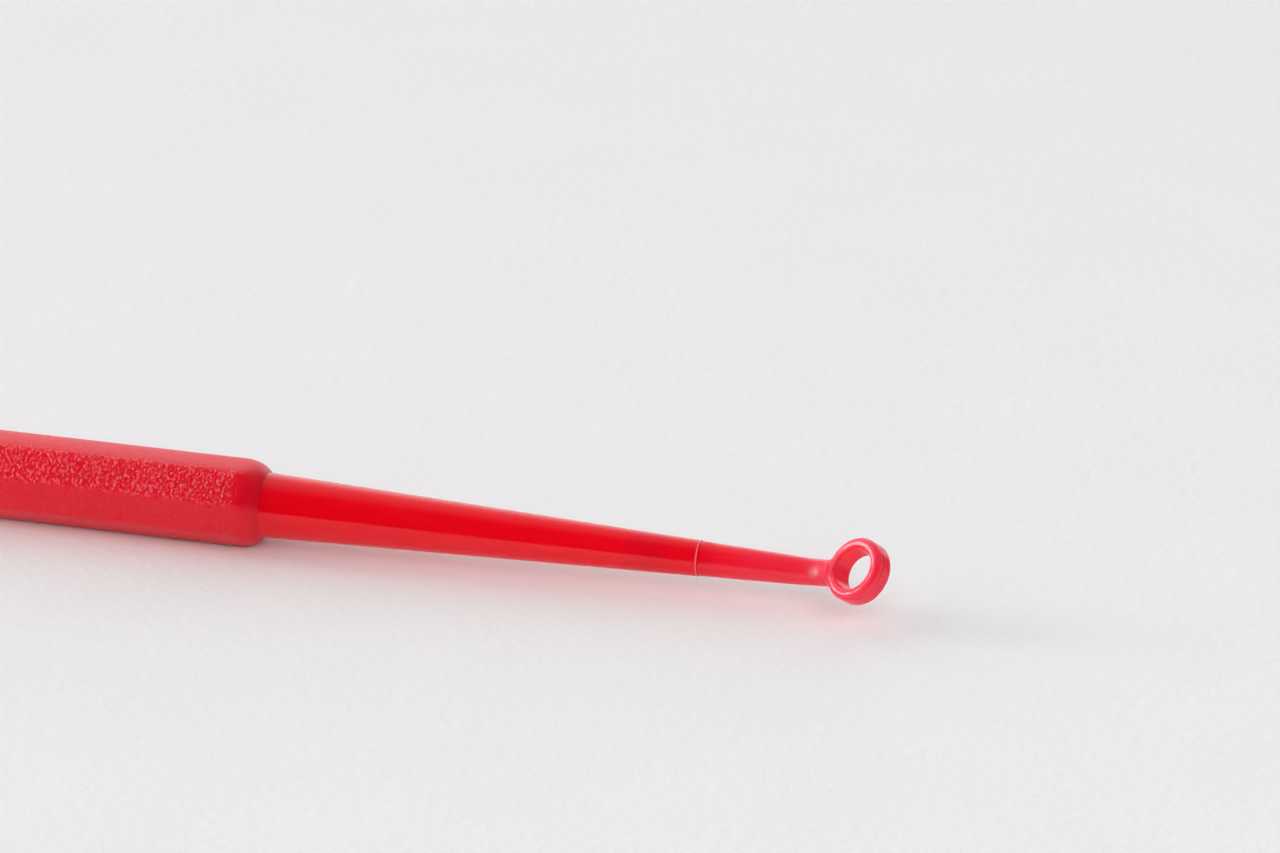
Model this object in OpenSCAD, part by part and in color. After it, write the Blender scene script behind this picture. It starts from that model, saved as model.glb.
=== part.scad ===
// Loop curette: an eight-sided grip, a tapered round shaft and a small tilted ring at the tip.
// It lies on one flat of its grip, butt towards -X and ring towards +X.
// The origin is on the table, under the middle of the overall length.

/* [Overall] */
// Length from the butt to the far side of the ring
overall_l = 152; // [148:0.5:160]

/* [Handle] */
// Length of the eight-sided handle
handle_l = 112.8; // [100:0.2:114]
// Width of the handle across two opposite flats
handle_w = 5.2; // [5:0.1:6]
// How far the eight long edges are rounded off, measured along the radius
edge_relief = 0.05; // [0.03:0.01:0.1]
// Angle between the side of the butt's cone and the handle's axis
butt_angle = 30; // [28:1:45]
// Radius of the butt's blunt nose
butt_nose_r = 2; // [1:0.1:2.2]
// How far the centre of the butt's dome lies above the handle's axis
butt_offset = 0.75; // [0:0.05:0.9]
// Length of the rounded shoulder in front of the grip
shoulder_l = 1.7; // [1:0.1:2]
// Width of the small gate mark on the butt
gate_d = 0.5; // [0.3:0.05:0.8]
// Height of the gate mark
gate_h = 0.12; // [0.1:0.02:0.3]

/* [Sunken panel] */
// Distance from the butt to the near end of the panel
panel_gap = 11.4; // [8:0.2:20]
// Length of the panel along the handle, at the level of its flat
panel_l = 15.9; // [12:0.1:24]
// Depth of the panel below its flat
panel_depth = 0.5; // [0.3:0.05:0.6]
// Length of each sloping end wall of the panel
wall_run = 0.35; // [0.1:0.05:0.6]
// Number of slanted ribs in the panel
rib_count = 7; // [4:1:7]
// Width of one rib
rib_w = 0.75; // [0.5:0.05:0.9]
// Length of one rib across the panel
rib_l = 2.1; // [1.5:0.1:2.2]
// Slant of the ribs from square across the handle
rib_slant = 18; // [0:1:25]

/* [Shaft] */
// Diameter of the shaft where it leaves the handle
shaft_root_d = 4; // [3.9:0.05:4.2]
// Diameter of the shaft at the witness line
shaft_tip_d = 2.18; // [2.16:0.02:2.6]
// Length of the shaft in front of the handle
shaft_l = 27.3; // [20:0.1:28]
// Angle by which the shaft droops below the handle's axis
shaft_droop = 0.35; // [0:0.05:0.5]

/* [Tip stem] */
// Diameter of the stem at the witness line
stem_root_d = 2.13; // [1.9:0.01:2.15]
// Diameter of the stem at its neck
neck_d = 1.62; // [1.4:0.02:1.8]
// Radius of the upward curve of the neck
bend_r = 6; // [5:0.5:8]
// Angle of the upward curve of the neck
bend_angle = 22; // [10:1:24]

/* [Loop] */
// Outside diameter of the ring
loop_od = 4; // [3.9:0.1:4.4]
// Diameter of the hole in the ring, at its narrow back end
loop_id = 2.34; // [2.1:0.02:2.5]
// How far the hole's wall leans outwards between its back corner and its front corner
loop_flare = 0.16; // [0:0.02:0.2]
// Width of the ring along its own axis
loop_w = 1.46; // [1.2:0.02:1.6]
// Radius of the rounded corners round the outside of the ring
loop_corner_r = 0.34; // [0.2:0.02:0.36]
// Radius of the rounded corners round the hole
hole_corner_r = 0.2; // [0.1:0.02:0.24]
// Tilt of the ring's face back towards the handle
loop_tilt = 30; // [20:1:40]

/* [Joints] */
// Diameter of the tang that holds the shaft in the handle
tang_d = 3; // [2.4:0.1:3.2]
// Length of the tang
tang_l = 12; // [8:1:16]
// Diameter of the spigot that holds the stem in the shaft
spigot_d = 1.3; // [1:0.1:1.4]
// Length of the spigot
spigot_l = 4; // [3:0.5:6]
// Clearance round the tang and the spigot, on the radius
fit_gap = 0.02; // [0.01:0.01:0.05]

/* [Hidden] */
$fn = 96;
sides = 8;
side_angle = 360 / sides;
axis_h = handle_w / 2;
corner_r = axis_h / cos(side_angle / 2);
land_r = corner_r - edge_relief;
// the panel and the ring face the flat next to the top one
facing_turn = side_angle;
// overlap of joined shapes, spare room at the end of a blind hole, and reach of a cut past a surface
eps = 0.01;
spare = 0.1;
overshoot = 1;
// how far the shoulder's arc runs on below the shaft's surface
shoulder_tuck = 0.02;
shoulder_drop = land_r - shaft_root_d / 2 + shoulder_tuck;
shoulder_r = (shoulder_l * shoulder_l + shoulder_drop * shoulder_drop) / (2 * shoulder_drop);
nose_end_r = butt_nose_r * cos(butt_angle);
nose_end_z = butt_nose_r * (1 - sin(butt_angle));
cone_end_r = land_r + butt_offset + spare;
cone_end_z = nose_end_z + (cone_end_r - nose_end_r) / tan(butt_angle);
panel_floor = axis_h - panel_depth;
// bare floor at each end of the row of ribs, and how far the ribs stop below the flat
rib_margin = 0.8;
rib_gap = 0.04;
rib_pitch = (panel_l - 2 * rib_margin) / rib_count;
loop_mid_r = (loop_od + loop_id) / 4;
loop_reach = (loop_od / 2 - loop_corner_r) * cos(loop_tilt)
    + (loop_w / 2 - loop_corner_r) * sin(loop_tilt) + loop_corner_r;
loop_s = overall_l - handle_l - loop_reach;
bend_start = loop_s - loop_mid_r * cos(loop_tilt) - bend_r * sin(bend_angle);
loop_rise = bend_r * (1 - cos(bend_angle)) + loop_mid_r * sin(loop_tilt);

// Places what is drawn up the Z axis from the butt along +X, with X drawn as Y and Y as Z
module lay_along_x() {
    translate([-overall_l / 2, 0, axis_h])
        rotate([90, 0, 90])
            children();
}

// Starts at the front of the handle and follows the drooping shaft
module along_shaft() {
    lay_along_x()
        translate([0, 0, handle_l])
            rotate([shaft_droop, 0, 0])
                children();
}

// Turns +Y of the section to the flat that the panel and the ring face
module facing() {
    rotate([0, 0, facing_turn])
        children();
}

// Half outline that rounds off the eight long edges and the shoulder, turned about the axis
module shoulder_outline() {
    square([land_r, handle_l - shoulder_l]);
    intersection() {
        translate([land_r - shoulder_r, handle_l - shoulder_l])
            circle(r = shoulder_r);
        translate([0, handle_l - shoulder_l - eps])
            square([land_r, shoulder_l + eps]);
    }
}

// Half outline of the butt's blunt cone, turned about the centre of the dome
module butt_outline() {
    polygon([
        [0, nose_end_z],
        [nose_end_r, nose_end_z],
        [cone_end_r, cone_end_z],
        [cone_end_r, handle_l + overshoot],
        [0, handle_l + overshoot]
    ]);
    intersection() {
        translate([0, butt_nose_r])
            circle(r = butt_nose_r);
        square([nose_end_r, nose_end_z + eps]);
    }
}

// Eight-sided bar with its long edges, butt and shoulder rounded
module bar() {
    intersection() {
        linear_extrude(height = handle_l)
            rotate(side_angle / 2)
                circle(r = corner_r, $fn = sides);
        rotate_extrude()
            shoulder_outline();
        translate([0, butt_offset, gate_h])
            rotate_extrude()
                butt_outline();
    }
}

// Everything above the panel's floor, between its two sloping end walls
module panel_space() {
    slope = wall_run / panel_depth;
    facing()
        translate([-handle_w, 0, panel_gap])
            rotate([90, 0, 90])
                linear_extrude(height = 2 * handle_w)
                    polygon([
                        [panel_floor, wall_run],
                        [panel_floor, panel_l - wall_run],
                        [axis_h + overshoot, panel_l + overshoot * slope],
                        [axis_h + overshoot, -overshoot * slope]
                    ]);
}

// A row of equal slanted ribs, a hair below the flat round them
module panel_ribs() {
    rib_h = panel_depth - rib_gap;
    facing()
        for (i = [0 : rib_count - 1])
            translate([0, panel_floor - eps, panel_gap + rib_margin + rib_pitch * (i + 0.5)])
                rotate([0, rib_slant, 0])
                    translate([-rib_l / 2, 0, -rib_w / 2])
                        cube([rib_l, rib_h + eps, rib_w]);
}

// Eight-sided grip with a domed butt, a rounded shoulder, a ribbed panel and a blind socket
module handle() {
    color("#D8303C")
        difference() {
            lay_along_x()
                union() {
                    difference() {
                        bar();
                        panel_space();
                    }
                    panel_ribs();
                    translate([0, butt_offset, 0])
                        cylinder(h = gate_h + butt_nose_r / 2, d = gate_d);
                }
            along_shaft()
                translate([0, 0, -tang_l - spare])
                    cylinder(h = tang_l + overshoot, r = tang_d / 2 + fit_gap);
        }
}

// Tapered shank with a tang behind it and a socket in its front end
module shaft() {
    color("#D9142A")
        along_shaft()
            difference() {
                union() {
                    cylinder(h = shaft_l, d1 = shaft_root_d, d2 = shaft_tip_d);
                    translate([0, 0, -tang_l])
                        cylinder(h = tang_l + eps, d = tang_d);
                }
                translate([0, 0, shaft_l - spigot_l - spare])
                    cylinder(h = spigot_l + overshoot, r = spigot_d / 2 + fit_gap);
            }
}

// Half section of the ring with its hole filled in, rounded at the two outside corners
module disc_section() {
    corner_x = loop_od / 2 - loop_corner_r;
    corner_y = loop_w / 2 - loop_corner_r;
    translate([0, -loop_w / 2])
        square([corner_x, loop_w]);
    translate([0, -corner_y])
        square([loop_od / 2, 2 * corner_y]);
    for (side = [-1, 1])
        translate([corner_x, side * corner_y])
            circle(r = loop_corner_r);
}

// Half section of the ring's band, whose hole widens from the back (+Y) to the front (-Y)
module band_section() {
    half_w = loop_w / 2;
    outer_x = loop_od / 2 - loop_corner_r;
    outer_y = half_w - loop_corner_r;
    back = [loop_id / 2 + hole_corner_r, half_w - hole_corner_r];
    front = [back.x + loop_flare, -back.y];
    wall = front - back;
    inwards = [wall.y, -wall.x] / norm(wall) * hole_corner_r;
    polygon([
        back + inwards,
        front + inwards,
        [front.x, -half_w],
        [outer_x, -half_w],
        [loop_od / 2, -outer_y],
        [loop_od / 2, outer_y],
        [outer_x, half_w],
        [back.x, half_w]
    ]);
    for (side = [-1, 1])
        translate([outer_x, side * outer_y])
            circle(r = loop_corner_r);
    for (corner = [back, front])
        translate(corner)
            circle(r = hole_corner_r);
}

// Places what is drawn round the Z axis at the ring, square to the ring's own axis
module at_loop() {
    facing()
        translate([0, loop_rise, loop_s])
            rotate([90 - loop_tilt, 0, 0])
                children();
}

// Thin neck that curves up to the ring and ends in a saddle on the ring's outside
module tip_stem() {
    color("#E02A40")
        along_shaft()
            difference() {
                union() {
                    translate([0, 0, shaft_l])
                        cylinder(h = bend_start - shaft_l, d1 = stem_root_d, d2 = neck_d);
                    translate([0, 0, shaft_l - spigot_l])
                        cylinder(h = spigot_l + eps, d = spigot_d);
                    facing()
                        translate([0, bend_r, bend_start])
                            rotate([90, 0, -90])
                                rotate_extrude(angle = bend_angle)
                                    translate([bend_r, 0])
                                        circle(d = neck_d);
                }
                at_loop()
                    rotate_extrude()
                        disc_section();
            }
}

// Ring with a rounded band and a hole that widens towards its front
module loop() {
    color("#EE4A66")
        along_shaft()
            at_loop()
                rotate_extrude()
                    band_section();
}

handle();
shaft();
tip_stem();
loop();
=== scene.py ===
"""Looks of the loop curette: grained eight-sided handle, polished tapered shaft, thin neck, small ring.

Everything is worked out in millimetres along the handle's axis and written out in metres.
Section coordinates: "across" lies in the facing flat, "out" points away from it, and "along"
runs from butt to ring. Colours are linear RGB.
"""
import math

import bpy
import numpy as np
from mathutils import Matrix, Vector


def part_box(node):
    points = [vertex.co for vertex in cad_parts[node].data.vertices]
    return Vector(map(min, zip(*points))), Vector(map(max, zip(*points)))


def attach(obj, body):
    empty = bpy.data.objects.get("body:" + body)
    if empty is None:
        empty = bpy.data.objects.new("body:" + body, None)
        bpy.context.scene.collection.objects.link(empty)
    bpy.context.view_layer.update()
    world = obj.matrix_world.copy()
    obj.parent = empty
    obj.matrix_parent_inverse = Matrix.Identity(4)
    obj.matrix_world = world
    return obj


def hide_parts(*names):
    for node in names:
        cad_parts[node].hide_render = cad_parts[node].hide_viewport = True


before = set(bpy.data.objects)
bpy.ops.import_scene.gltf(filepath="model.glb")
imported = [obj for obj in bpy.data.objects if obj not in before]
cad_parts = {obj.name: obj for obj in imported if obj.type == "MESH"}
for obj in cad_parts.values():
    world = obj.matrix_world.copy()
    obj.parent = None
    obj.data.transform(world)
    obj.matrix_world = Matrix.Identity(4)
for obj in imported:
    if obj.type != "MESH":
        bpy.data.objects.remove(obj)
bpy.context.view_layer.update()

# ---------------------------------------------------------------- sizes, in millimetres
MM = 0.001
HANDLE_LO, HANDLE_HI = [np.array(corner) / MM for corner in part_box("handle")]
SHAFT_HI = np.array(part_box("shaft")[1]) / MM
LOOP_HI = np.array(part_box("loop")[1]) / MM
BUTT_X = HANDLE_LO[0]
HANDLE_L = HANDLE_HI[0] - HANDLE_LO[0]
HANDLE_W = HANDLE_HI[2] - HANDLE_LO[2]
AXIS_Z = (HANDLE_LO[2] + HANDLE_HI[2]) / 2
APOTHEM = HANDLE_W / 2
SIDES = 8
HALF_SIDE = math.pi / SIDES
FACING = math.radians(135)  # direction of the facing flat in the section, from +Y towards +Z
EDGE_R = 0.28
SHARP_ANGLE = math.radians(60)

# shoulder in front of the grip
SHOULDER_L = 1.7
SHOULDER_LAND = 2.764
SHOULDER_DROP = 0.75
SHOULDER_R = (SHOULDER_L**2 + SHOULDER_DROP**2) / (2 * SHOULDER_DROP)

# blunt butt
BUTT_OFFSET = 0.75
BUTT_ANGLE = math.radians(30)
NOSE_R = 2.0
GATE_R = 0.25
GATE_H = 0.12
MACHINING_PITCH = 0.17
MACHINING_H = 0.0035

# the handle's skin: where its rays start, the mould's waves, and its grain
DOME_S = 4.2
FRONT_S = HANDLE_L - APOTHEM
RAY_LIFT = BUTT_OFFSET * 0.6
RAY_REACH = 7.0
SKIN_INSET = 0.016
WAVE_H = 0.010
COARSE_H = 0.006
PANEL_GRAIN = 0.12
SIDE_GRAIN = 0.16
LOWER_EDGE_DEG = 112.5

# sunken panel and its ribs
PANEL_GAP = 11.4
PANEL_L = 15.9
PANEL_END = PANEL_GAP + PANEL_L
PANEL_DEPTH = 0.5
WALL_RUN = 0.35
RIB_COUNT = 7
RIB_W = 0.75
RIB_L = 2.1
RIB_H = 0.46
RIB_SLANT = math.radians(18)
RIB_MARGIN = 0.8

# shaft, stem and ring
SHAFT_ROOT_R = 2.0
SHAFT_TIP_R = 1.09
SHAFT_L = 27.3
SHAFT_SLOPE = (SHAFT_TIP_R - SHAFT_ROOT_R) / SHAFT_L
ROOT_SWELL = 0.006  # over the first 0.2 mm, so that no gap shows at the handle's front
ROOT_DEPTH = 0.18
DROOP = math.radians(0.35)
TANG_R = 1.5
TANG_L = 12.0
SOCKET_R = 1.52
SOCKET_L = 12.1
SPIGOT_R = 0.65
SPIGOT_L = 4.0
HOLE_R = 0.67
HOLE_L = 4.1
STEM_ROOT_R = 1.065
NECK_R = 0.81
BEND_R = 6.0
BEND_ANGLE = math.radians(22)
LOOP_OUT_R = 2.0
LOOP_IN_R = 1.17
LOOP_HALF_W = 0.73
LOOP_CORNER_R = 0.34
LOOP_TILT = math.radians(30)
OVERALL_L = 152.0
RING_CORNERS = ((2.0, -0.73, 0.34), (2.0, 0.73, 0.34), (1.37, 0.69, 0.15), (1.15, -0.73, 0.28))

LOOP_MID_R = (LOOP_OUT_R + LOOP_IN_R) / 2
LOOP_REACH = (
    (LOOP_OUT_R - LOOP_CORNER_R) * math.cos(LOOP_TILT)
    + (LOOP_HALF_W - LOOP_CORNER_R) * math.sin(LOOP_TILT)
    + LOOP_CORNER_R
)
LOOP_S = OVERALL_L - HANDLE_L - LOOP_REACH
LOOP_RISE = BEND_R * (1 - math.cos(BEND_ANGLE)) + LOOP_MID_R * math.sin(LOOP_TILT)
BEND_START = LOOP_S - LOOP_MID_R * math.cos(LOOP_TILT) - BEND_R * math.sin(BEND_ANGLE)
STEM_WALL = BEND_START - SHAFT_L + BEND_R * BEND_ANGLE - (LOOP_OUT_R - LOOP_MID_R)
STEM_END = STEM_WALL + 0.42
PATCH_T = STEM_WALL - 0.95  # the scoop and the painted highlight patch on the neck

# colours
GRIP_DEEP = (0.80, 0.001, 0.018)
GRIP_LIGHT = (0.84, 0.002, 0.023)
GRIP_MOTTLE = (0.84, 0.006, 0.024)
# painted glint: light specks in the grain, standing in for highlights on its bumps
GRAIN_GLINT = (1.0, 0.17, 0.20)
# painted glint: light specks along the facing flat's long edges
EDGE_GLINT = (1.0, 0.70, 0.72)
SHAFT_RED = (0.86, 0.0003, 0.011)
NECK_RED = (0.90, 0.002, 0.016)
RING_RED = (1.0, 0.036, 0.085)
# painted highlight colour, for the neck's patch and the shaft's witness-line rim
PAINTED_HIGHLIGHT = (1.0, 0.34, 0.36)
TABLE_DEEP = (0.915, 0.917, 0.920)
TABLE_LIGHT = (0.930, 0.931, 0.933)

# how deep light goes into the plastic
GRIP_GLOW = 1.6
SHAFT_GLOW = 1.1
TIP_GLOW = 1.8
JOINT_GLOW = 0.06  # share of the depth that is left right beside a joint
PLASTIC_IOR = 1.43


# ---------------------------------------------------------------- small helpers
def smooth_max(a, b, k):
    """The larger of two fields, with the crease between them rounded over about k."""
    h = np.clip(0.5 + 0.5 * (a - b) / k, 0.0, 1.0)
    return b + (a - b) * h + k * h * (1.0 - h)


def smooth_min(a, b, k):
    """The smaller of two fields, with the crease between them filled over about k."""
    return -smooth_max(-a, -b, k)


def ease(low, high, x):
    """0 below low, 1 above high, and a smooth step between."""
    t = np.clip((x - low) / (high - low), 0.0, 1.0)
    return t * t * (3.0 - 2.0 * t)


def bell(x, centre, width):
    """A smooth bump of height 1 round the centre."""
    return np.exp(-(((x - centre) / width) ** 2))


def round_angles(count):
    """Evenly spaced angles all the way round."""
    return np.arange(count) * 2 * math.pi / count


def at_height(flat, s):
    """Section points as full points, all at s along the axis."""
    return np.concatenate([flat, np.full((len(flat), 1), float(s))], axis=1)


def lattice_noise(points, size, seed):
    """Smooth random field between -1 and 1 with cells of the given size."""
    table = np.random.default_rng(seed).uniform(-1.0, 1.0, (32, 32, 32))
    grid = np.asarray(points) / size
    cell = np.floor(grid).astype(int)
    t = grid - cell
    t = t * t * (3.0 - 2.0 * t)
    total = np.zeros(grid.shape[:-1])
    for corner in range(8):
        step = np.array([corner & 1, corner >> 1 & 1, corner >> 2 & 1])
        weight = np.prod(np.where(step == 1, t, 1.0 - t), axis=-1)
        at = (cell + step) % 32
        total += weight * table[at[..., 0], at[..., 1], at[..., 2]]
    return total


def solve_outwards(field, origin, direction, reach):
    """Distance along each ray at which the field turns from negative to positive."""
    low = np.zeros(direction.shape[:-1])
    high = np.full(direction.shape[:-1], float(reach))
    for _ in range(30):
        middle = (low + high) / 2
        inside = field(origin + direction * middle[..., None]) < 0
        low = np.where(inside, middle, low)
        high = np.where(inside, high, middle)
    return (low + high) / 2


def steps(*spans):
    """Stations through (start, end, spacing) spans that join end to end."""
    out = []
    for start, end, spacing in spans:
        count = max(1, int(round(abs(end - start) / spacing)))
        out.extend(start + (end - start) * i / count for i in range(count))
    out.append(spans[-1][1])
    return np.array(out)


def grid_mesh(name, rings, first_pole, last_pole, masks=None):
    """A closed skin from rings of points, shaped (ring, point, 3), with one pole at each end."""
    count, around = rings.shape[:2]
    points = np.concatenate([rings.reshape(-1, 3), [first_pole], [last_pole]])
    first, last = count * around, count * around + 1
    faces = []
    for i in range(count - 1):
        for k in range(around):
            n = (k + 1) % around
            faces.append((i * around + k, i * around + n, (i + 1) * around + n, (i + 1) * around + k))
    for k in range(around):
        n = (k + 1) % around
        faces.append((first, n, k))
        faces.append((last, (count - 1) * around + k, (count - 1) * around + n))
    mesh = bpy.data.meshes.new(name)
    mesh.from_pydata((points * MM).tolist(), [], faces)
    finish_mesh(mesh)
    for mask, values in (masks or {}).items():
        store_mask(mesh, mask, np.concatenate([values.reshape(-1), values[0, :1], values[-1, :1]]))
    return new_object(name, mesh)


def store_mask(mesh, mask, values):
    """A value per vertex that the materials read by name."""
    layer = mesh.attributes.new(mask, "FLOAT", "POINT")
    layer.data.foreach_set("value", values.astype(np.float32))


def torus_mesh(name, rings, masks):
    """A closed skin from rings of points that join end to end as well."""
    count, around = rings.shape[:2]
    faces = []
    for i in range(count):
        j = (i + 1) % count
        for k in range(around):
            n = (k + 1) % around
            faces.append((i * around + k, i * around + n, j * around + n, j * around + k))
    mesh = bpy.data.meshes.new(name)
    mesh.from_pydata((rings.reshape(-1, 3) * MM).tolist(), [], faces)
    finish_mesh(mesh)
    for mask, values in masks.items():
        store_mask(mesh, mask, values.reshape(-1))
    return new_object(name, mesh)


def finish_mesh(mesh):
    """Smooth faces whose normals all point outwards, with sharp edges where they turn steeply."""
    mesh.update()
    mesh.shade_smooth()
    points = np.empty(len(mesh.vertices) * 3)
    mesh.vertices.foreach_get("co", points)
    points = points.reshape(-1, 3)
    mesh.calc_loop_triangles()
    corners = np.empty(len(mesh.loop_triangles) * 3, dtype=np.int32)
    mesh.loop_triangles.foreach_get("vertices", corners)
    a, b, c = points[corners.reshape(-1, 3)].transpose(1, 0, 2)
    if np.einsum("ij,ij->i", a, np.cross(b, c)).sum() < 0:
        mesh.flip_normals()
    mesh.set_sharp_from_angle(angle=SHARP_ANGLE)


def new_object(name, mesh):
    """An object in the scene that holds this mesh."""
    obj = bpy.data.objects.new(name, mesh)
    bpy.context.scene.collection.objects.link(obj)
    return obj


# ---------------------------------------------------------------- places
OUT = np.array([0.0, math.cos(FACING), math.sin(FACING)])
ACROSS = np.array([0.0, math.sin(FACING), -math.cos(FACING)])
ALONG = np.array([1.0, 0.0, 0.0])


def handle_place(local):
    """(across, out, along the handle from the butt) to model millimetres."""
    base = np.array([BUTT_X, 0.0, AXIS_Z])
    return base + local[..., :1] * ACROSS + local[..., 1:2] * OUT + local[..., 2:] * ALONG


SHAFT_ALONG = np.array([math.cos(DROOP), 0.0, -math.sin(DROOP)])
SHAFT_UP = np.array([math.sin(DROOP), 0.0, math.cos(DROOP)])
SHAFT_SIDE = np.array([0.0, 1.0, 0.0])
SHAFT_OUT = math.cos(FACING) * SHAFT_SIDE + math.sin(FACING) * SHAFT_UP
SHAFT_ACROSS = math.sin(FACING) * SHAFT_SIDE - math.cos(FACING) * SHAFT_UP


def shaft_place(local):
    """(across, out, along the drooping shaft from the handle's front) to model millimetres."""
    base = np.array([HANDLE_HI[0], 0.0, AXIS_Z])
    return base + local[..., :1] * SHAFT_ACROSS + local[..., 1:2] * SHAFT_OUT + local[..., 2:] * SHAFT_ALONG


# ---------------------------------------------------------------- handle
def octagon_field(x, y):
    """Distance to the eight-sided section with rounded long edges."""
    radius = np.hypot(x, y)
    folded = (np.arctan2(y, x) + HALF_SIDE) % (2 * HALF_SIDE) - HALF_SIDE
    px = radius * np.cos(folded) - (APOTHEM - EDGE_R)
    py = np.maximum(np.abs(radius * np.sin(folded)) - (APOTHEM - EDGE_R) * math.tan(HALF_SIDE), 0.0)
    return np.hypot(np.maximum(px, 0.0), py) + np.minimum(px, 0.0) - EDGE_R


def shoulder_field(radius, s):
    """Negative behind the rounded step at the handle's front."""
    start = HANDLE_L - SHOULDER_L
    arc = np.hypot(radius - (SHOULDER_LAND - SHOULDER_R), np.maximum(s - start, 0.0)) - SHOULDER_R
    return np.maximum(arc, s - HANDLE_L)


def butt_field(x, y, s):
    """Negative inside the butt: a ball round the gate mark that runs out into a cone."""
    radius = np.hypot(x, y - BUTT_OFFSET)
    z = s - GATE_H
    end_r = NOSE_R * math.cos(BUTT_ANGLE)
    end_z = NOSE_R * (1 - math.sin(BUTT_ANGLE))
    ball = np.hypot(radius, z - NOSE_R) - NOSE_R
    cone = (radius - end_r) * math.cos(BUTT_ANGLE) - (z - end_z) * math.sin(BUTT_ANGLE)
    past = (radius - end_r) * math.sin(BUTT_ANGLE) + (z - end_z) * math.cos(BUTT_ANGLE)
    return np.where(past < 0, ball, cone)


def panel_field(x, y, s):
    """Negative inside the sunken panel's space, positive in the plastic round it."""
    floor = APOTHEM - PANEL_DEPTH
    slope = WALL_RUN / PANEL_DEPTH
    lean = 1 / math.hypot(1.0, slope)
    drift = (y - APOTHEM) * slope
    near = (PANEL_GAP - drift - s) * lean
    far = (s - (PANEL_END + drift)) * lean
    return smooth_max(smooth_max(near, far, 0.05), floor - y, 0.12)


def ribs_field(x, y, s):
    """Negative inside the seven slanted ribs, whose sides have some draft."""
    pitch = (PANEL_L - 2 * RIB_MARGIN) / RIB_COUNT
    first = PANEL_GAP + RIB_MARGIN + pitch / 2
    index = np.clip(np.round((s - first) / pitch), 0, RIB_COUNT - 1)
    ds = s - first - index * pitch
    length = x * math.cos(RIB_SLANT) - ds * math.sin(RIB_SLANT)
    width = x * math.sin(RIB_SLANT) + ds * math.cos(RIB_SLANT)
    height = y - (APOTHEM - PANEL_DEPTH)
    draft = 0.14 * (RIB_H / 2 - height)
    sides = smooth_max(np.abs(width) - RIB_W / 2 - draft, np.abs(length) - RIB_L / 2 - draft, 0.12)
    return smooth_max(sides, height - RIB_H, 0.1)


def handle_field(p):
    """Negative inside the handle: grip, shoulder, butt, panel, ribs and gate mark together."""
    x, y, s = p[..., 0], p[..., 1], p[..., 2]
    radius = np.hypot(x, y)
    body = smooth_max(octagon_field(x, y), shoulder_field(radius, s), 0.22)
    body = smooth_max(body, butt_field(x, y, s), 0.16)
    body = smooth_max(body, -panel_field(x, y, s), 0.09)
    near_panel = (s > PANEL_GAP - 1) & (s < PANEL_END + 1) & (y > 0)
    body = np.where(near_panel, smooth_min(body, ribs_field(x, y, s), 0.07), body)
    gate = np.maximum(np.hypot(x, y - BUTT_OFFSET) - GATE_R, -s)
    gate = np.maximum(gate, s - NOSE_R)
    return smooth_min(body, gate, 0.05)


def section_angles():
    """Angles round the section, closer together over the facing flat, with one on every long edge."""
    quarter = 2 * HALF_SIDE
    out = []
    for side in range(SIDES):
        centre = math.pi / 2 + side * quarter
        fine = {0: 26, 1: 18, SIDES - 1: 18}.get(side, 11)
        out.extend(centre - HALF_SIDE + quarter * i / fine for i in range(fine))
    return np.array(out)


def dome_rays(rim):
    """Rays from one point inside the butt, spread from the gate mark to the flats."""
    start = np.array([0.0, RAY_LIFT, DOME_S])
    for turn in steps((0.6, 12.0, 0.8), (12.0, 90.0, 1.25))[:-1]:
        spread = math.sin(math.radians(turn))
        centre = np.array([0.0, BUTT_OFFSET * (1 - spread)])
        target = at_height(centre + rim * spread, DOME_S * (1 - math.cos(math.radians(turn))))
        yield start, target - start


def grip_rays(rim):
    """Rays square to the axis, closer together over the panel."""
    stations = steps(
        (DOME_S, PANEL_GAP - 0.6, 0.25),
        (PANEL_GAP - 0.6, PANEL_END + 0.6, 0.06),
        (PANEL_END + 0.6, HANDLE_L - 6.0, 0.32),
        (HANDLE_L - 6.0, FRONT_S, 0.16),
    )
    for s in stations:
        lift = RAY_LIFT * (1 - ease(DOME_S, DOME_S + 3.0, s))
        start = np.array([0.0, lift, s])
        yield start, at_height(rim, s) - start


def shoulder_rays(unit):
    """Rays from one point on the axis, turning towards the front."""
    start = np.array([0.0, 0.0, FRONT_S])
    front_turn = math.degrees(math.atan2(APOTHEM, SHAFT_ROOT_R + 0.02))
    for turn in steps((0.0, front_turn, 1.3))[1:]:
        yield start, at_height(unit * math.cos(math.radians(turn)), math.sin(math.radians(turn)))


def handle_skin(unit, rim):
    """The handle's outside, as rings of (across, out, along) points."""
    pairs = [*dome_rays(rim), *grip_rays(rim), *shoulder_rays(unit)]
    starts = np.array([np.broadcast_to(start, ray.shape) for start, ray in pairs])
    rays = np.array([ray for _, ray in pairs])
    rays = rays / np.linalg.norm(rays, axis=-1, keepdims=True)
    reach = solve_outwards(handle_field, starts, rays, RAY_REACH)
    return starts + rays * reach[..., None]


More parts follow.
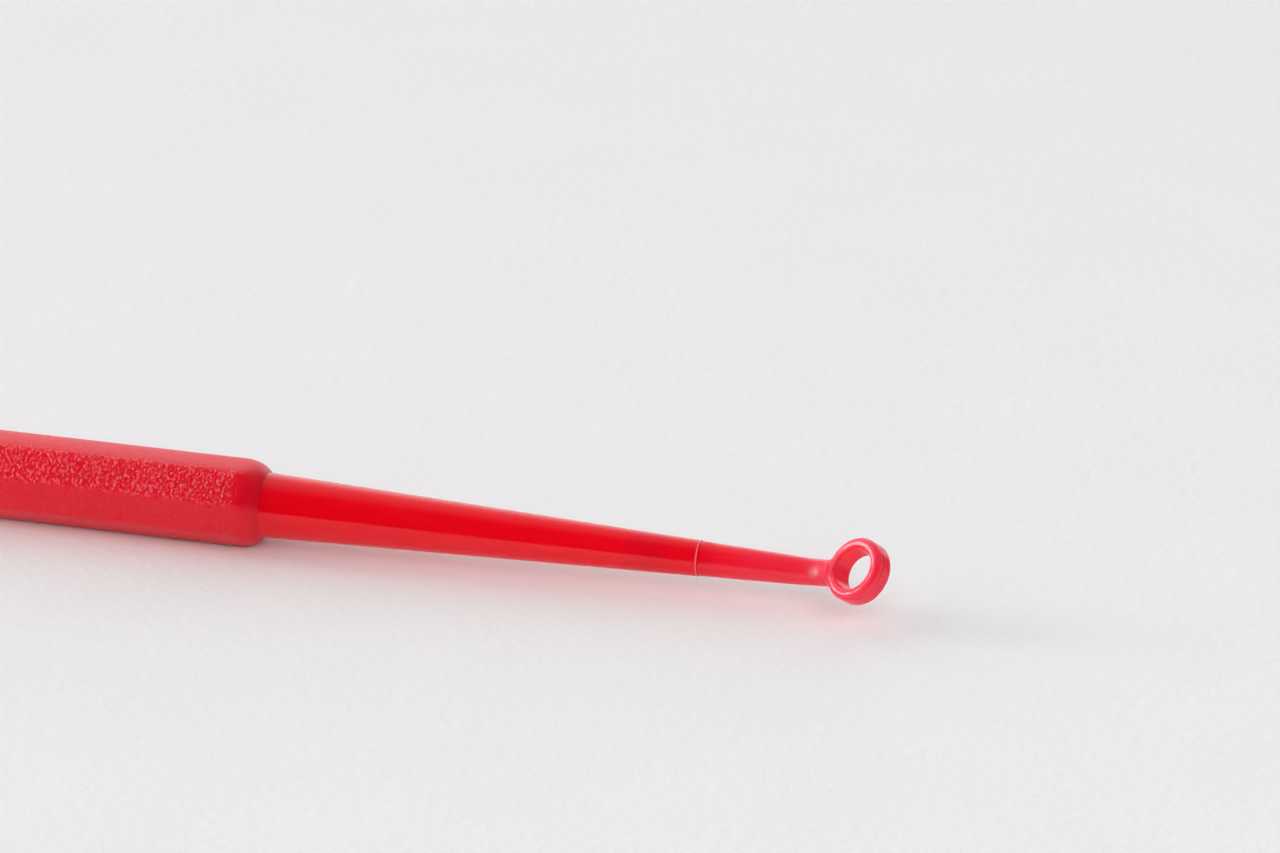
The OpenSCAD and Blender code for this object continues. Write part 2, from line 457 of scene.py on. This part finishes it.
def handle_masks(skin, angles):
    """Grain, painted glints along the facing flat's long edges, and nearness to the joint."""
    x, y, s = skin[..., 0], skin[..., 1], skin[..., 2]
    ragged = lattice_noise(skin, 0.45, 11) * 0.22 + lattice_noise(skin, 0.2, 12) * 0.12
    grain = ease(0.0, 0.35, HANDLE_L - SHOULDER_L + 0.45 - s + ragged)
    grain *= ease(0.06, 0.2, -butt_field(x, y, s) + ragged * 0.3)
    sunk = (panel_field(x, y, s) < 0.03) & (y > 0)
    grain = np.where(sunk, PANEL_GRAIN, grain)
    turned = np.degrees(np.abs((angles - math.pi / 2 + math.pi) % (2 * math.pi) - math.pi))
    coarser = 1.0 - ease(23.0, 26.5, turned)
    grain = grain * (SIDE_GRAIN + (1 - SIDE_GRAIN) * coarser)
    # edge: where painted glints go along the facing flat's long edges, strongest on its lower edge
    edge = ease(0.0, 0.09, np.hypot(x, y) - APOTHEM / np.cos(0.75 * HALF_SIDE)) * grain
    edge = edge * (0.4 + 0.6 * bell(np.degrees(angles), LOWER_EDGE_DEG, 5.0))
    return {"grain": grain, "edge": edge, "joint": ease(1.3, 0.3, HANDLE_L - s)}


def moulded(skin, grain):
    """The skin with long soft waves, coarse grain and the butt's machining marks."""
    x, y, s = skin[..., 0], skin[..., 1], skin[..., 2]
    radius = np.hypot(x, y)
    outwards = np.stack([x, y, np.zeros_like(x)], axis=-1) / np.maximum(radius, 0.3)[..., None]
    wave = lattice_noise(skin * [1, 1, 0.35], 1.7, 21) * WAVE_H
    coarse = lattice_noise(skin, 0.42, 22) * COARSE_H * grain
    inset = (SKIN_INSET - wave - coarse) * ease(0.5, 3.0, s) * (radius > 2.0)
    skin = skin - outwards * inset[..., None]
    off = np.hypot(x, y - BUTT_OFFSET)
    marks = np.sin(2 * math.pi * off / MACHINING_PITCH) * MACHINING_H
    on_dome = (butt_field(x, y, s) > -0.03) * (off > GATE_R + 0.1)
    skin[..., 2] += np.where(on_dome, marks + MACHINING_H, 0.0)
    skin[..., 2] = np.minimum(skin[..., 2], HANDLE_L)
    return skin


def socket_rings(unit):
    """The front face, then the blind socket that takes the shaft's tang."""
    profile = (
        (SHAFT_ROOT_R, 0.0),
        (SHAFT_ROOT_R, 0.1),
        (SHAFT_ROOT_R, 0.2),
        (1.8, 0.2),
        (SOCKET_R + 0.03, 0.2),
        (SOCKET_R, 0.25),
        (SOCKET_R, 4.0),
        (SOCKET_R, 8.0),
        (SOCKET_R, SOCKET_L - 0.05),
        (SOCKET_R - 0.05, SOCKET_L),
        (0.8, SOCKET_L),
    )
    return np.array([at_height(unit * r, HANDLE_L - depth) for r, depth in profile])


def build_handle():
    """The grip with its butt, panel, ribs, shoulder and socket."""
    angles = section_angles()
    unit = np.stack([np.cos(angles), np.sin(angles)], axis=-1)
    folded = (angles + HALF_SIDE) % (2 * HALF_SIDE) - HALF_SIDE
    rim = unit * (APOTHEM / np.cos(folded))[:, None]
    skin = handle_skin(unit, rim)
    inner = socket_rings(unit)
    masks = handle_masks(skin, angles)
    rings = np.concatenate([moulded(skin, masks["grain"]), inner])
    for name, value in (("grain", 0.0), ("edge", 0.0), ("joint", 1.0)):
        masks[name] = np.concatenate([masks[name], np.full(inner.shape[:2], value)])
    first = handle_place(np.array([0.0, BUTT_OFFSET, 0.0]))
    last = handle_place(np.array([0.0, 0.0, HANDLE_L - SOCKET_L]))
    return grid_mesh("grip_shell", handle_place(rings), first, last, masks)


# ---------------------------------------------------------------- shaft
def shaft_profile():
    """(radius, along) points of the tang, the taper and the spigot's hole, and 1 for those in view."""
    tang = [
        (0.7, -TANG_L),
        (TANG_R - 0.1, -TANG_L),
        (TANG_R, -TANG_L + 0.1),
        (TANG_R, -8.0),
        (TANG_R, -4.0),
        (TANG_R, -0.2),
        (TANG_R + 0.02, -ROOT_DEPTH),
        (1.75, -ROOT_DEPTH),
        (SHAFT_ROOT_R - 0.03, -ROOT_DEPTH),
    ]
    stations = steps((-0.15, 0.5, 0.07), (0.5, SHAFT_L - 0.6, 0.3), (SHAFT_L - 0.6, SHAFT_L - 0.03, 0.02))
    taper = [(SHAFT_ROOT_R + ROOT_SWELL * (s < 0.2) + SHAFT_SLOPE * s, s) for s in stations]
    hole = [
        (SHAFT_TIP_R - 0.01, SHAFT_L - 0.01),
        (SHAFT_TIP_R - 0.03, SHAFT_L),
        (0.9, SHAFT_L),
        (HOLE_R + 0.02, SHAFT_L),
        (HOLE_R, SHAFT_L - 0.02),
        (HOLE_R, SHAFT_L - 2.0),
        (HOLE_R, SHAFT_L - HOLE_L + 0.02),
        (HOLE_R - 0.05, SHAFT_L - HOLE_L),
        (0.3, SHAFT_L - HOLE_L),
    ]
    in_view = np.repeat([0.0, 1.0, 0.0], [len(tang), len(taper), len(hole)])
    return np.array(tang + taper + hole), in_view[:, None]


def build_shaft():
    """The tapered shaft: slow unevenness, a parting line on both sides and the witness line's rim, a ridge
    that also gets a painted highlight.
    """
    angles = round_angles(128)
    profile, in_view = shaft_profile()
    radius = profile[:, :1] * np.ones(len(angles))
    s = profile[:, 1:] * np.ones(len(angles))
    point = np.stack([radius * np.cos(angles), radius * np.sin(angles), s], axis=-1)
    free = in_view * ease(0.1, 1.0, s)
    radius = radius + free * lattice_noise(point * [1, 1, 0.22], 1.6, 31) * 0.008
    parting = np.abs(np.sin(angles)) * np.maximum(radius, 0.5)
    radius = radius + free * 0.010 * bell(parting, 0.0, 0.05)
    # rim: the witness line's ridge, and also where the material paints a highlight
    rim = in_view * bell(s, SHAFT_L - 0.06, 0.05)
    radius = radius + rim * (0.024 + 0.01 * lattice_noise(point, 0.7, 32))
    points = np.stack([radius * np.cos(angles), radius * np.sin(angles), s], axis=-1)
    joint = np.maximum(ease(1.2, 0.3, s), ease(SHAFT_L - 3.0, SHAFT_L - 0.5, s))
    first = shaft_place(np.array([0.0, 0.0, -TANG_L]))
    last = shaft_place(np.array([0.0, 0.0, SHAFT_L - HOLE_L]))
    return grid_mesh("shaft_taper", shaft_place(points), first, last, {"rim": rim, "joint": joint})


# ---------------------------------------------------------------- ring and stem
LOOP_CENTRE = np.array([0.0, LOOP_RISE, LOOP_S])
LOOP_AXIS = np.array([0.0, math.cos(LOOP_TILT), -math.sin(LOOP_TILT)])
LOOP_RADIAL = np.array([0.0, math.sin(LOOP_TILT), math.cos(LOOP_TILT)])
SIDEWAYS = np.array([1.0, 0.0, 0.0])


def ring_field(p):
    """Distance to the ring's band, a rounded rectangle turned about the ring's axis."""
    rel = p - LOOP_CENTRE
    axial = rel @ LOOP_AXIS
    flat = rel - axial[..., None] * LOOP_AXIS
    radial = np.linalg.norm(flat, axis=-1)
    half = (LOOP_OUT_R - LOOP_IN_R) / 2
    qx = np.abs(radial - LOOP_MID_R) - (half - LOOP_CORNER_R)
    qy = np.abs(axial) - (LOOP_HALF_W - LOOP_CORNER_R)
    outer = np.hypot(np.maximum(qx, 0), np.maximum(qy, 0)) + np.minimum(np.maximum(qx, qy), 0)
    return outer - LOOP_CORNER_R


def rounded_outline(corners, spacing):
    """Closed outline through (radial, axial, corner radius) corners, as evenly spaced points."""
    points = []
    count = len(corners)
    for i in range(count):
        before, here, after = [np.array(corners[(i + step) % count][:2]) for step in (-1, 0, 1)]
        into = (here - before) / np.linalg.norm(here - before)
        away = (after - here) / np.linalg.norm(after - here)
        bend = math.atan2(into[0] * away[1] - into[1] * away[0], into @ away)
        radius = corners[i][2]
        start = here - into * radius * math.tan(bend / 2)
        middle = start + np.array([-into[1], into[0]]) * radius
        for turn in np.linspace(0.0, bend, 24):
            arm = np.array([math.sin(turn) * into[0] + math.cos(turn) * into[1],
                            math.sin(turn) * into[1] - math.cos(turn) * into[0]])
            points.append(middle + arm * radius)
    points = np.array(points)
    closed = np.concatenate([points, points[:1]])
    run = np.concatenate([[0.0], np.cumsum(np.linalg.norm(np.diff(closed, axis=0), axis=1))])
    at = np.linspace(0.0, run[-1], int(round(run[-1] / spacing)), endpoint=False)
    return np.stack([np.interp(at, run, closed[:, 0]), np.interp(at, run, closed[:, 1])], axis=-1)


def build_ring():
    """The ring: slightly uneven, with a thin parting line and a step beside it on the outer wall."""
    turn = round_angles(200)
    outline = rounded_outline(RING_CORNERS, 0.05)
    radial, axial = outline[:, 0], outline[:, 1]
    outer = ease(LOOP_MID_R + 0.2, LOOP_OUT_R - 0.05, radial)
    seam = 0.016 * bell(axial, 0.40, 0.05) - 0.035 * bell(axial, 0.27, 0.07)
    radial = radial - 0.018 + seam * outer
    spoke = np.cos(turn)[:, None, None] * LOOP_RADIAL + np.sin(turn)[:, None, None] * SIDEWAYS
    point = LOOP_CENTRE + LOOP_AXIS * axial[None, :, None] + spoke * radial[None, :, None]
    point = point + spoke * (lattice_noise(point, 0.8, 41) * 0.012)[..., None]
    point = point + LOOP_AXIS * (lattice_noise(point, 0.9, 42) * 0.012)[..., None]
    from_stem = np.linalg.norm(point - neck_line(STEM_WALL)[0], axis=-1)
    return torus_mesh("ring_band", shaft_place(point), {"joint": ease(2.0, 0.9, from_stem)})


def neck_line(t):
    """Centre, direction and outward normal of the stem's centre line, t mm past the witness line."""
    straight = BEND_START - SHAFT_L
    if t <= straight:
        return np.array([0, 0, SHAFT_L + t]), np.array([0.0, 0.0, 1.0]), np.array([0.0, 1.0, 0.0])
    turn = min((t - straight) / BEND_R, BEND_ANGLE)
    rest = max(t - straight - BEND_R * BEND_ANGLE, 0.0)
    along = np.array([0.0, math.sin(turn), math.cos(turn)])
    normal = np.array([0.0, math.cos(turn), -math.sin(turn)])
    centre = np.array([0, BEND_R * (1 - math.cos(turn)), BEND_START + BEND_R * math.sin(turn)])
    return centre + along * rest, along, normal


# the last stretch of the centre line, where the stem is blended into the ring
STEM_AXIS = [(t, neck_line(t)[0]) for t in steps((0.0, STEM_END + 0.6, 0.05)) if t > STEM_WALL - 2.6]


def neck_radius(t):
    """Radius of the stem t mm past the witness line, smaller where it is sunk in the ring."""
    taper = np.interp(t, [0, 1.2, 2.7, 5.7, 7.1, 20], [STEM_ROOT_R, 1.02, 0.98, 0.87, NECK_R, NECK_R])
    return taper - 0.22 * ease(STEM_WALL - 0.1, STEM_END, t)


def stem_field(p):
    """Negative inside the stem or the ring, with the crease between them filled."""
    flat = p.reshape(-1, 3)
    best = np.full(len(flat), 1e9)
    for t, centre in STEM_AXIS:
        best = np.minimum(best, np.linalg.norm(flat - centre, axis=-1) - neck_radius(t))
    return smooth_min(best.reshape(p.shape[:-1]), ring_field(p), 0.28)


def stem_ring(t, angles):
    """One ring of the stem's outside, with its parting line, the nub and the scoop."""
    centre, _, normal = neck_line(t)
    ray = np.cos(angles)[:, None] * SIDEWAYS + np.sin(angles)[:, None] * normal
    if t < STEM_WALL - 1.3:
        reach = np.full(len(angles), float(neck_radius(t)))
    else:
        sunk = 0.03 * ease(STEM_WALL - 0.05, STEM_WALL + 0.2, t)
        reach = solve_outwards(lambda p: stem_field(p) + sunk, centre, ray, 1.9)
    point = centre + ray * reach[:, None]
    uneven = lattice_noise(point * [1, 1, 0.3], 1.1, 51) * 0.007
    uneven = uneven + 0.009 * bell(np.abs(np.sin(angles)) * reach, 0.0, 0.05)
    nub = 0.035 * bell(t, 0.45, 0.22) * bell(angles, math.radians(34), 0.2)
    scoop = 0.09 * bell(t, PATCH_T, 0.22) * bell(angles, math.radians(104), 0.30)
    uneven = uneven * (1 - ease(STEM_WALL - 0.6, STEM_WALL - 0.1, t)) + nub - scoop
    return point + ray * uneven[:, None]


def build_stem():
    """The stem: a spigot, then the neck that curves up into the ring, with a painted highlight patch on it.
    """
    angles = round_angles(112)
    circle = np.stack([np.cos(angles), np.sin(angles)], axis=-1)
    spigot = (
        (0.3, -SPIGOT_L),
        (SPIGOT_R - 0.05, -SPIGOT_L),
        (SPIGOT_R, -SPIGOT_L + 0.05),
        (SPIGOT_R, -2.0),
        (SPIGOT_R, -0.02),
        (SPIGOT_R + 0.02, 0.0),
        (0.85, 0.0),
        (STEM_ROOT_R - 0.03, 0.0),
    )
    stations = steps(
        (0.012, 0.3, 0.03),
        (0.3, STEM_WALL - 1.2, 0.16),
        (STEM_WALL - 1.2, STEM_WALL - 0.5, 0.06),
        (STEM_WALL - 0.5, STEM_END, 0.025),
    )
    rings = [at_height(circle * r, SHAFT_L + z) for r, z in spigot]
    rings += [stem_ring(t, angles) for t in stations]
    t = np.concatenate([np.zeros(len(spigot)), stations])[:, None] * np.ones(len(angles))
    joint = np.maximum(ease(2.0, 0.3, t), ease(STEM_WALL - 0.7, STEM_WALL + 0.05, t))
    # painted highlight: a pale patch on the neck where light would catch the scoop
    painted_highlight = 1.7 * bell(t, PATCH_T, 0.32) * bell(angles, math.radians(106), 0.34)
    first = shaft_place(np.array([0.0, 0.0, SHAFT_L - SPIGOT_L]))
    last = shaft_place(neck_line(STEM_END)[0])
    return grid_mesh("neck_stem", shaft_place(np.array(rings)), first, last, {"rim": painted_highlight, "joint": joint})


# ---------------------------------------------------------------- materials
def material(name):
    """A new material, its nodes, its links and its shader."""
    mat = bpy.data.materials.new(name)
    mat.use_nodes = True
    nodes = mat.node_tree.nodes
    return mat, nodes, mat.node_tree.links, nodes["Principled BSDF"]


def add(nodes, kind, **values):
    """A new node with these settings."""
    node = nodes.new(kind)
    for key, value in values.items():
        setattr(node, key, value)
    return node


def object_noise(nodes, links, feature_mm, detail=2.0, stretch=(1, 1, 1)):
    """Noise in the object's own space, with features of about this size."""
    coords = add(nodes, "ShaderNodeTexCoord")
    mapping = add(nodes, "ShaderNodeMapping")
    mapping.inputs["Scale"].default_value = [k / (feature_mm * MM) for k in stretch]
    noise = add(nodes, "ShaderNodeTexNoise")
    noise.inputs["Scale"].default_value = 1.0
    noise.inputs["Detail"].default_value = detail
    links.new(coords.outputs["Object"], mapping.inputs["Vector"])
    links.new(mapping.outputs["Vector"], noise.inputs["Vector"])
    return noise


def ranged(nodes, links, source, low, high, out_low, out_high):
    """The source carried over from one range to another, and kept inside it."""
    node = add(nodes, "ShaderNodeMapRange", clamp=True)
    node.inputs["From Min"].default_value = low
    node.inputs["From Max"].default_value = high
    node.inputs["To Min"].default_value = out_low
    node.inputs["To Max"].default_value = out_high
    links.new(source, node.inputs["Value"])
    return node.outputs["Result"]


def maths(nodes, links, operation, a, b):
    """One sum on two values, each a number or a socket."""
    node = add(nodes, "ShaderNodeMath", operation=operation)
    for socket, value in zip(node.inputs, (a, b)):
        if isinstance(value, (int, float)):
            socket.default_value = value
        else:
            links.new(value, socket)
    return node.outputs["Value"]


def mixed(nodes, links, factor, a, b):
    """Colour a where the factor is 0 and colour b where it is 1."""
    node = add(nodes, "ShaderNodeMix", data_type="RGBA")
    links.new(factor, node.inputs["Factor"])
    for key, value in (("A", a), ("B", b)):
        socket = [i for i in node.inputs if i.name == key and i.type == "RGBA"][0]
        if isinstance(value, tuple):
            socket.default_value = (*value, 1.0)
        else:
            links.new(value, socket)
    return [o for o in node.outputs if o.type == "RGBA"][0]


def bump(nodes, links, height, depth_mm, after=None):
    """Fine relief of this depth, on top of another one if given."""
    node = add(nodes, "ShaderNodeBump")
    node.inputs["Distance"].default_value = depth_mm * MM
    node.inputs["Strength"].default_value = 1.0
    links.new(height, node.inputs["Height"])
    if after is not None:
        links.new(after, node.inputs["Normal"])
    return node.outputs["Normal"]


def plastic(nodes, links, bsdf, depth_mm):
    """Red plastic that lets light in by depth_mm, and by much less right beside a joint."""
    bsdf.subsurface_method = "RANDOM_WALK"
    bsdf.inputs["Subsurface Weight"].default_value = 1.0
    bsdf.inputs["Subsurface Radius"].default_value = (1.0, 0.05, 0.08)
    bsdf.inputs["IOR"].default_value = PLASTIC_IOR
    joint = add(nodes, "ShaderNodeAttribute", attribute_name="joint").outputs["Fac"]
    depth = ranged(nodes, links, joint, 0.0, 1.0, depth_mm * MM, JOINT_GLOW * depth_mm * MM)
    links.new(depth, bsdf.inputs["Subsurface Scale"])


def grain_height(nodes, links, mask):
    """Rounded blobs with a little fine noise, almost flat where there is no grain."""
    fine = object_noise(nodes, links, 0.10, 1.0).outputs["Fac"]
    blobs = object_noise(nodes, links, 0.19, 0.5).outputs["Fac"]
    blobs = ranged(nodes, links, blobs, 0.42, 0.66, 0.0, 1.0)
    blobs = maths(nodes, links, "MULTIPLY", blobs, 0.85)
    fine = maths(nodes, links, "MULTIPLY", fine, 0.15)
    height = maths(nodes, links, "ADD", blobs, fine)
    return maths(nodes, links, "MULTIPLY", height, ranged(nodes, links, mask, 0.0, 1.0, 0.02, 1.0))


def grained_grip():
    """Red plastic with a spark-eroded grain, and painted glints in the grain and along the flat's long
    edges.
    """
    mat, nodes, links, bsdf = material("grained_grip")
    plastic(nodes, links, bsdf, GRIP_GLOW)
    mask = add(nodes, "ShaderNodeAttribute", attribute_name="grain").outputs["Fac"]
    edge = add(nodes, "ShaderNodeAttribute", attribute_name="edge").outputs["Fac"]
    cloudy = object_noise(nodes, links, 2.6, 3.0, (0.4, 1, 1)).outputs["Fac"]
    mottle = object_noise(nodes, links, 0.34, 2.0).outputs["Fac"]
    glint_noise = object_noise(nodes, links, 0.19, 0.5).outputs["Fac"]
    base = mixed(nodes, links, ranged(nodes, links, cloudy, 0.35, 0.65, 0.0, 1.0), GRIP_DEEP, GRIP_LIGHT)
    mottled = ranged(nodes, links, mottle, 0.4, 0.7, 0.0, 0.5)
    base = mixed(nodes, links, maths(nodes, links, "MULTIPLY", mask, mottled), base, GRIP_MOTTLE)
    # painted glints: light specks in the grain where highlights would catch
    grain_glints = maths(nodes, links, "MULTIPLY", ranged(nodes, links, glint_noise, 0.55, 0.65, 0.0, 1.0), 0.5)
    base = mixed(nodes, links, maths(nodes, links, "MULTIPLY", mask, grain_glints), base, GRAIN_GLINT)
    # painted glints along the facing flat's long edges
    edge_glints = ranged(nodes, links, glint_noise, 0.34, 0.56, 0.6, 1.0)
    base = mixed(nodes, links, maths(nodes, links, "MULTIPLY", edge, edge_glints), base, EDGE_GLINT)
    links.new(base, bsdf.inputs["Base Color"])
    links.new(bump(nodes, links, grain_height(nodes, links, mask), 0.046), bsdf.inputs["Normal"])
    rough = ranged(nodes, links, mask, 0.0, 1.0, 0.32, 0.27)
    rough = maths(nodes, links, "ADD", rough, ranged(nodes, links, mottle, 0.3, 0.7, -0.04, 0.05))
    links.new(rough, bsdf.inputs["Roughness"])
    return mat


def polished(name, colour_root, colour_tip, x_root, x_tip, depth_mm):
    """Smooth translucent plastic, whose colour turns paler from x_root to x_tip as the section thins."""
    mat, nodes, links, bsdf = material(name)
    plastic(nodes, links, bsdf, depth_mm)
    coords = add(nodes, "ShaderNodeTexCoord")
    split = add(nodes, "ShaderNodeSeparateXYZ")
    links.new(coords.outputs["Object"], split.inputs["Vector"])
    along = ranged(nodes, links, split.outputs["X"], x_root * MM, x_tip * MM, 0.0, 1.0)
    base = mixed(nodes, links, along, colour_root, colour_tip)
    flow = object_noise(nodes, links, 0.9, 3.0, (0.25, 1, 1)).outputs["Fac"]
    lighter = tuple(min(1.0, c * 1.06 + 0.004) for c in colour_tip)
    base = mixed(nodes, links, ranged(nodes, links, flow, 0.45, 0.7, 0.0, 0.35), base, lighter)
    # painted highlight: rim lightens the colour on the shaft's witness-line ridge and on the neck's patch
    rim = add(nodes, "ShaderNodeAttribute", attribute_name="rim").outputs["Fac"]
    base = mixed(nodes, links, maths(nodes, links, "MULTIPLY", rim, 0.5), base, PAINTED_HIGHLIGHT)
    links.new(base, bsdf.inputs["Base Color"])
    ripple = object_noise(nodes, links, 0.8, 2.0, (0.3, 1, 1)).outputs["Fac"]
    haze = object_noise(nodes, links, 0.12, 2.0).outputs["Fac"]
    normal = bump(nodes, links, ripple, 0.004)
    normal = bump(nodes, links, haze, 0.0006, normal)
    links.new(normal, bsdf.inputs["Normal"])
    links.new(ranged(nodes, links, flow, 0.3, 0.7, 0.07, 0.12), bsdf.inputs["Roughness"])
    return mat


def floor_material():
    """A plain pale table with the faintest unevenness."""
    mat, nodes, links, bsdf = material("pale_table")
    soft = object_noise(nodes, links, 9.0, 3.0).outputs["Fac"]
    grain = object_noise(nodes, links, 0.7, 3.0).outputs["Fac"]
    base = mixed(nodes, links, ranged(nodes, links, soft, 0.3, 0.7, 0.0, 1.0), TABLE_DEEP, TABLE_LIGHT)
    links.new(base, bsdf.inputs["Base Color"])
    links.new(bump(nodes, links, grain, 0.05), bsdf.inputs["Normal"])
    bsdf.inputs["Roughness"].default_value = 0.6
    bsdf.inputs["Specular IOR Level"].default_value = 0.3
    return mat


# ---------------------------------------------------------------- stage
TABLE_HALF = 6.0
TABLE_CELLS = 24
TABLE_Z = -0.00002

# the studio's brightness from the camera's side (-1) to the back (1), then at the left and the right
STUDIO_LEVELS = (
    (-1.0, 0.02),
    (-0.40, 0.03),
    (-0.20, 0.10),
    (0.05, 0.34),
    (0.22, 0.58),
    (0.62, 0.62),
    (0.76, 0.95),
    (0.88, 1.40),
    (1.0, 1.45),
)
RAMP_SCALE = 2.0  # keeps every level on the ramp below 1
STUDIO_GAIN = 1.93
LEFT_LEVEL = 1.35
RIGHT_LEVEL = 0.12
BACKDROP_LEVEL = 0.82
STUDIO_TINT = (0.985, 0.995, 1.0)

CAMERA_AT = (150.115, -337.787, 174.699)
CAMERA_DOWN = 25.132
CAMERA_TURN = 14.887
CAMERA_LENS = 181.96


def build_floor():
    """The table's top, just below the surface that the tool lies on."""
    line = np.linspace(-TABLE_HALF, TABLE_HALF, TABLE_CELLS + 1)
    points = [(x, y, TABLE_Z) for y in line for x in line]
    row = TABLE_CELLS + 1
    faces = []
    for j in range(TABLE_CELLS):
        for i in range(TABLE_CELLS):
            faces.append((j * row + i, j * row + i + 1, (j + 1) * row + i + 1, (j + 1) * row + i))
    mesh = bpy.data.meshes.new("table_top")
    mesh.from_pydata(points, [], faces)
    obj = new_object("table_top", mesh)
    obj.data.materials.append(floor_material())


def float_mix(nodes, links, factor, a, b):
    """Number a where the factor is 0 and b where it is 1; b may be a plain number."""
    node = add(nodes, "ShaderNodeMix", data_type="FLOAT")
    links.new(factor, node.inputs[0])
    links.new(a, node.inputs[2])
    if isinstance(b, float):
        node.inputs[3].default_value = b
    else:
        links.new(b, node.inputs[3])
    return node.outputs[0]


def build_world():
    """A studio that is bright behind and at the left, and dark at the right and towards the camera."""
    world = bpy.data.worlds.new("studio")
    bpy.context.scene.world = world
    world.use_nodes = True
    nodes, links = world.node_tree.nodes, world.node_tree.links
    coords = add(nodes, "ShaderNodeTexCoord")
    split = add(nodes, "ShaderNodeSeparateXYZ")
    links.new(coords.outputs["Generated"], split.inputs["Vector"])
    ramp = add(nodes, "ShaderNodeValToRGB")
    elements = ramp.color_ramp.elements
    while len(elements) < len(STUDIO_LEVELS):
        elements.new(0.5)
    for element, (y, level) in zip(elements, STUDIO_LEVELS):
        element.position = (y + 1) / 2
        element.color = (level / RAMP_SCALE, level / RAMP_SCALE, level / RAMP_SCALE, 1.0)
    links.new(ranged(nodes, links, split.outputs["Y"], -1.0, 1.0, 0.0, 1.0), ramp.inputs["Fac"])
    lit = maths(nodes, links, "MULTIPLY", ramp.outputs["Color"], STUDIO_GAIN)
    aside = maths(nodes, links, "ABSOLUTE", split.outputs["X"], 0.0)
    side = ranged(nodes, links, aside, 0.34, 0.60, 0.0, 1.0)
    side_level = ranged(nodes, links, split.outputs["X"], -0.4, 0.4, LEFT_LEVEL, RIGHT_LEVEL)
    level = float_mix(nodes, links, side, lit, side_level)
    path = add(nodes, "ShaderNodeLightPath")
    seen = float_mix(nodes, links, path.outputs["Is Camera Ray"], level, BACKDROP_LEVEL)
    background = nodes["Background"]
    background.inputs["Color"].default_value = (*STUDIO_TINT, 1.0)
    links.new(seen, background.inputs["Strength"])


def softbox(name, place, width, height, watts):
    """An area light that faces the origin and is itself out of the camera's sight."""
    light = bpy.data.lights.new(name, "AREA")
    light.shape = "RECTANGLE"
    light.size = width
    light.size_y = height
    light.energy = watts
    obj = bpy.data.objects.new(name, light)
    bpy.context.scene.collection.objects.link(obj)
    place = np.array(place)
    back = place / np.linalg.norm(place)
    obj.location = place
    obj.rotation_euler = (math.acos(back[2]), 0.0, math.atan2(back[0], -back[1]))
    obj.visible_camera = False
    return obj


def build_lights():
    """A large soft light behind, a small bright one at the left, and a fill that leaves no highlight."""
    softbox("key_softbox", (-0.50, 0.58, 0.74), 1.1, 0.8, 0.6)
    softbox("side_softbox", (-1.12, -0.14, 0.38), 0.40, 0.42, 4.8)
    fill = softbox("front_fill", (0.60, -0.85, 0.80), 1.2, 0.8, 7.5)
    fill.visible_glossy = False


def build_camera():
    """The photograph's view: low, from in front and a little to the right, with a long lens."""
    camera = bpy.data.cameras.new("view")
    camera.lens = CAMERA_LENS
    camera.sensor_width = 36.0
    camera.clip_start = 0.01
    camera.clip_end = 50.0
    obj = bpy.data.objects.new("view", camera)
    bpy.context.scene.collection.objects.link(obj)
    obj.location = np.array(CAMERA_AT) * MM
    obj.rotation_euler = (math.radians(90 - CAMERA_DOWN), 0.0, math.radians(CAMERA_TURN))
    bpy.context.scene.camera = obj
    bpy.context.scene.view_settings.view_transform = "Standard"


# ---------------------------------------------------------------- assembly
def dress(piece, mat, slot, *nodes):
    """A piece's material, body and the CAD nodes that it stands in for; slot is not used."""
    piece.data.materials.append(mat)
    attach(piece, "root")
    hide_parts(*nodes)


build_floor()
build_world()
build_lights()
build_camera()
pale_from = LOOP_HI[0] - 2 * LOOP_OUT_R
shaft_plastic = polished("polished_shaft", SHAFT_RED, NECK_RED, HANDLE_HI[0], SHAFT_HI[0], SHAFT_GLOW)
tip_plastic = polished("polished_tip", NECK_RED, RING_RED, SHAFT_HI[0], pale_from, TIP_GLOW)
dress(build_handle(), grained_grip(), "grained_grip", "handle")
dress(build_shaft(), shaft_plastic, "polished_shaft", "shaft")
dress(build_stem(), tip_plastic, "polished_tip", "tip_stem")
dress(build_ring(), tip_plastic, "polished_tip", "loop")
